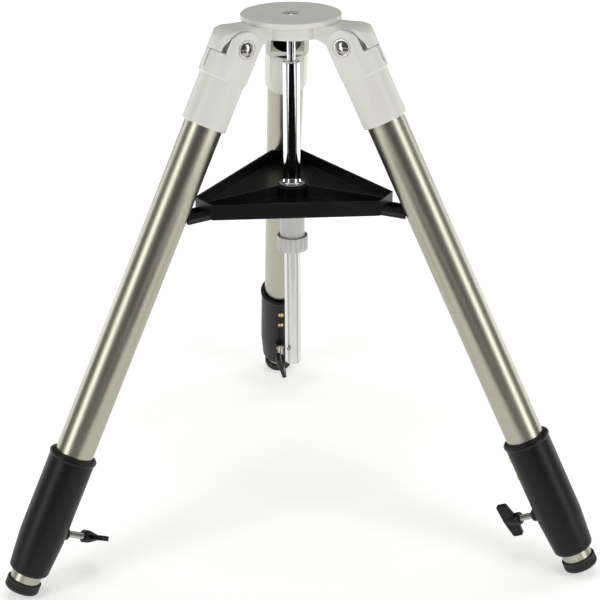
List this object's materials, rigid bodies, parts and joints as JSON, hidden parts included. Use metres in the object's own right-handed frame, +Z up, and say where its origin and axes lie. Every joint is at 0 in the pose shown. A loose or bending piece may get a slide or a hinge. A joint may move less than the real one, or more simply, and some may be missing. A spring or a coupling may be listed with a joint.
{
  "type": "telescope field tripod",
  "caption": "Field tripod for a telescope mount: round head, hinged clevis castings, telescopic tube legs with clamp knobs and rubber feet, centre shaft and tray.",
  "frame": {"origin": "centre of the head's top face, where the mount sits, on the centre line", "axes": "+Z up out of the head's top face; +Y towards leg c; legs a, b and c stand at 210, 330 and 90 degrees about +Z"},
  "size_m": [0.7002, 0.6118, 0.636],
  "materials": {
    "painted_casting": "satin light grey-white paint on an aluminium casting",
    "plated_steel": "bright zinc or nickel plated steel",
    "black_steel": "black oxide steel",
    "brushed_stainless": "stainless tube with a fine ground finish round its girth",
    "polished_chrome": "polished chrome plate",
    "satin_aluminium": "clear anodised extrusion",
    "black_moulding": "satin black glass-filled nylon",
    "black_tray_plastic": "semi-gloss black ABS",
    "grey_moulding": "light grey moulded nylon",
    "white_nylon": "natural nylon",
    "brass": "turned brass",
    "yellow_plated_screw": "yellow-passivated steel",
    "black_rubber": "moulded rubber"
  },
  "bodies": {
    "head": {"tripod_head": "painted_casting", "hinge_bolts": "plated_steel", "hinge_nuts": "plated_steel", "hinge_washers": "plated_steel"},
    "leg_a": {"leg_casting_a": "painted_casting", "hinge_bushes_a": "white_nylon", "collar_screw_a": "black_steel", "upper_tube_a": "brushed_stainless", "guide_bush_a": "white_nylon", "clamp_shoe_a": "black_moulding", "shoe_screws_a": "yellow_plated_screw", "knob_insert_a": "brass", "clamp_pad_a": "white_nylon"},
    "lower_leg_a": {"lower_tube_a": "brushed_stainless", "slide_bush_a": "white_nylon", "foot_plug_a": "black_moulding", "rubber_foot_a": "black_rubber"},
    "knob_a": {"wing_knob_a": "black_moulding", "knob_screw_a": "plated_steel"},
    "leg_b": {"leg_casting_b": "painted_casting", "hinge_bushes_b": "white_nylon", "collar_screw_b": "black_steel", "upper_tube_b": "brushed_stainless", "guide_bush_b": "white_nylon", "clamp_shoe_b": "black_moulding", "shoe_screws_b": "yellow_plated_screw", "knob_insert_b": "brass", "clamp_pad_b": "white_nylon"},
    "lower_leg_b": {"lower_tube_b": "brushed_stainless", "slide_bush_b": "white_nylon", "foot_plug_b": "black_moulding", "rubber_foot_b": "black_rubber"},
    "knob_b": {"wing_knob_b": "black_moulding", "knob_screw_b": "plated_steel"},
    "leg_c": {"leg_casting_c": "painted_casting", "hinge_bushes_c": "white_nylon", "collar_screw_c": "black_steel", "upper_tube_c": "brushed_stainless", "guide_bush_c": "white_nylon", "clamp_shoe_c": "black_moulding", "shoe_screws_c": "yellow_plated_screw", "knob_insert_c": "brass", "clamp_pad_c": "white_nylon"},
    "lower_leg_c": {"lower_tube_c": "brushed_stainless", "slide_bush_c": "white_nylon", "foot_plug_c": "black_moulding", "rubber_foot_c": "black_rubber"},
    "knob_c": {"wing_knob_c": "black_moulding", "knob_screw_c": "plated_steel"},
    "shaft_carrier": {"retaining_clip": "plated_steel"},
    "shaft": {"shaft_stud": "plated_steel", "shaft_sleeve": "polished_chrome", "fluted_bar": "satin_aluminium", "stop_screw": "plated_steel"},
    "tray": {"accessory_tray": "black_tray_plastic", "tray_hub": "grey_moulding", "hub_snap_ring": "black_steel"},
    "lock_ring": {"lock_ring": "grey_moulding"}
  },
  "joints": [
    {"name": "leg_a_fold", "type": "hinge", "parent": "head", "child": "leg_a", "pos_m": [-0.0646, -0.0373, -0.027], "axis": [0.5, -0.866, 0], "range_deg": [0, 9]},
    {"name": "leg_b_fold", "type": "hinge", "parent": "head", "child": "leg_b", "pos_m": [0.0646, -0.0373, -0.027], "axis": [0.5, 0.866, 0], "range_deg": [0, 9]},
    {"name": "leg_c_fold", "type": "hinge", "parent": "head", "child": "leg_c", "pos_m": [0, 0.0746, -0.027], "axis": [-1, 0, 0], "range_deg": [0, 9]},
    {"name": "lower_leg_a_slide", "type": "slide", "parent": "leg_a", "child": "lower_leg_a", "axis": [-0.3965, -0.2289, -0.889], "range_m": [0, 0.38]},
    {"name": "lower_leg_b_slide", "type": "slide", "parent": "leg_b", "child": "lower_leg_b", "axis": [0.3965, -0.2289, -0.889], "range_m": [0, 0.38]},
    {"name": "lower_leg_c_slide", "type": "slide", "parent": "leg_c", "child": "lower_leg_c", "axis": [0, 0.4578, -0.889], "range_m": [0, 0.38]},
    {"name": "knob_a_turn", "type": "hinge", "parent": "leg_a", "child": "knob_a", "pos_m": [-0.26784, -0.15464, -0.58103], "axis": [0.7699, 0.4445, -0.4578], "continuous": true},
    {"name": "knob_b_turn", "type": "hinge", "parent": "leg_b", "child": "knob_b", "pos_m": [0.26784, -0.15464, -0.58103], "axis": [-0.7699, 0.4445, -0.4578], "continuous": true},
    {"name": "knob_c_turn", "type": "hinge", "parent": "leg_c", "child": "knob_c", "pos_m": [0, 0.30928, -0.58103], "axis": [0, -0.889, -0.4578], "continuous": true},
    {"name": "shaft_lift", "type": "slide", "parent": "head", "child": "shaft_carrier", "axis": [0, 0, 1], "range_m": [0, 0.0155]},
    {"name": "shaft_turn", "type": "hinge", "parent": "shaft_carrier", "child": "shaft", "pos_m": [0, 0, -0.2], "axis": [0, 0, 1], "continuous": true},
    {"name": "tray_slide", "type": "slide", "parent": "head", "child": "tray", "axis": [0, 0, -1], "range_m": [0, 0.11]},
    {"name": "lock_ring_turn", "type": "hinge", "parent": "tray", "child": "lock_ring", "pos_m": [0, 0, -0.277], "axis": [0, 0, 1], "continuous": true}
  ],
  "couplings": [
    {"joint": "leg_b_fold", "follows": "leg_a_fold", "ratio": 1},
    {"joint": "leg_c_fold", "follows": "leg_a_fold", "ratio": 1},
    {"joint": "tray_slide", "follows": "leg_a_fold", "m_per_rad": 0.7002}
  ]
}
